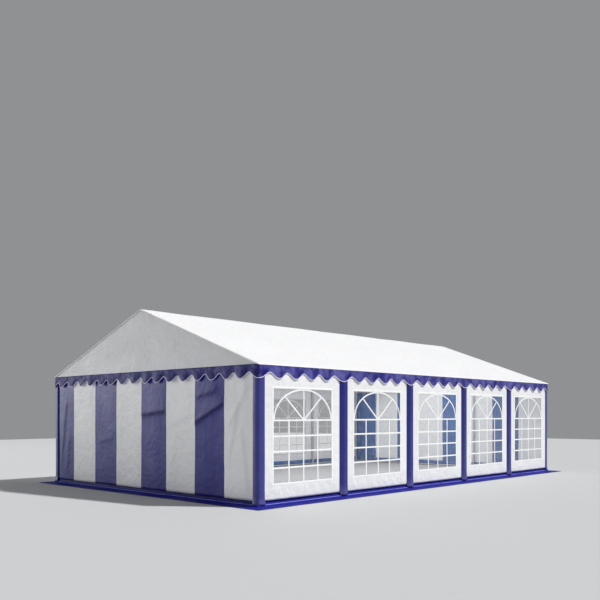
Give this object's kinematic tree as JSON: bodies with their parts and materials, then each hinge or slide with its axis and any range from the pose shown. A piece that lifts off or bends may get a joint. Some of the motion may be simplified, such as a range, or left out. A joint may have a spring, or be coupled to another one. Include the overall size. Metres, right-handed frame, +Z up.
{
  "type": "party tent",
  "caption": "Walk-in gabled party tent with a tube frame, sheet roof, wavy valance, striped gable walls and clear arched windows.",
  "frame": {"origin": "middle of the ground plan, on the ground", "axes": "+Z up, +X along the ridge from the front gable to the back one, +Y from the right side to the left side"},
  "size_m": [10.58, 6.7, 3.357],
  "materials": {
    "galvanised_steel": "galvanised, dull",
    "white_sheet": "coated fabric, satin",
    "blue_sheet": "coated fabric, satin",
    "striped_sheet": "coated fabric, satin, in blue and white stripes",
    "clear_film": "clear soft film"
  },
  "bodies": {
    "root": {"frame_1": "galvanised_steel", "frame_2": "galvanised_steel", "frame_3": "galvanised_steel", "frame_4": "galvanised_steel", "frame_5": "galvanised_steel", "frame_6": "galvanised_steel", "gable_frame_front": "galvanised_steel", "gable_frame_back": "galvanised_steel", "ridge_purlin": "galvanised_steel", "eave_purlin_right": "galvanised_steel", "eave_purlin_left": "galvanised_steel", "mid_purlin_right": "galvanised_steel", "mid_purlin_left": "galvanised_steel", "ground_rail_right": "galvanised_steel", "ground_rail_left": "galvanised_steel", "ground_rail_front": "galvanised_steel", "ground_rail_back": "galvanised_steel", "roof_cover": "white_sheet", "gable_sheet_front": "white_sheet", "gable_sheet_back": "white_sheet", "side_panel_right_1": "white_sheet", "side_panel_right_2": "white_sheet", "side_panel_right_3": "white_sheet", "side_panel_right_4": "white_sheet", "side_panel_right_5": "white_sheet", "side_panel_left_1": "white_sheet", "side_panel_left_2": "white_sheet", "side_panel_left_3": "white_sheet", "side_panel_left_4": "white_sheet", "side_panel_left_5": "white_sheet", "post_cover_right_1": "blue_sheet", "post_cover_right_2": "blue_sheet", "post_cover_right_3": "blue_sheet", "post_cover_right_4": "blue_sheet", "post_cover_left_1": "blue_sheet", "post_cover_left_2": "blue_sheet", "post_cover_left_3": "blue_sheet", "post_cover_left_4": "blue_sheet", "corner_cover_front_right": "blue_sheet", "corner_cover_front_left": "blue_sheet", "corner_cover_back_right": "blue_sheet", "corner_cover_back_left": "blue_sheet", "ground_flap_right": "blue_sheet", "ground_flap_left": "blue_sheet", "ground_flap_front": "blue_sheet", "ground_flap_back": "blue_sheet", "skirt_right": "blue_sheet", "skirt_left": "blue_sheet", "skirt_front": "blue_sheet", "skirt_back": "blue_sheet", "valance_right": "blue_sheet", "valance_left": "blue_sheet", "valance_front": "blue_sheet", "valance_back": "blue_sheet", "gable_wall_front": "striped_sheet", "gable_wall_back": "striped_sheet", "window_film_right": "clear_film", "window_film_left": "clear_film"}
  },
  "joints": []
}
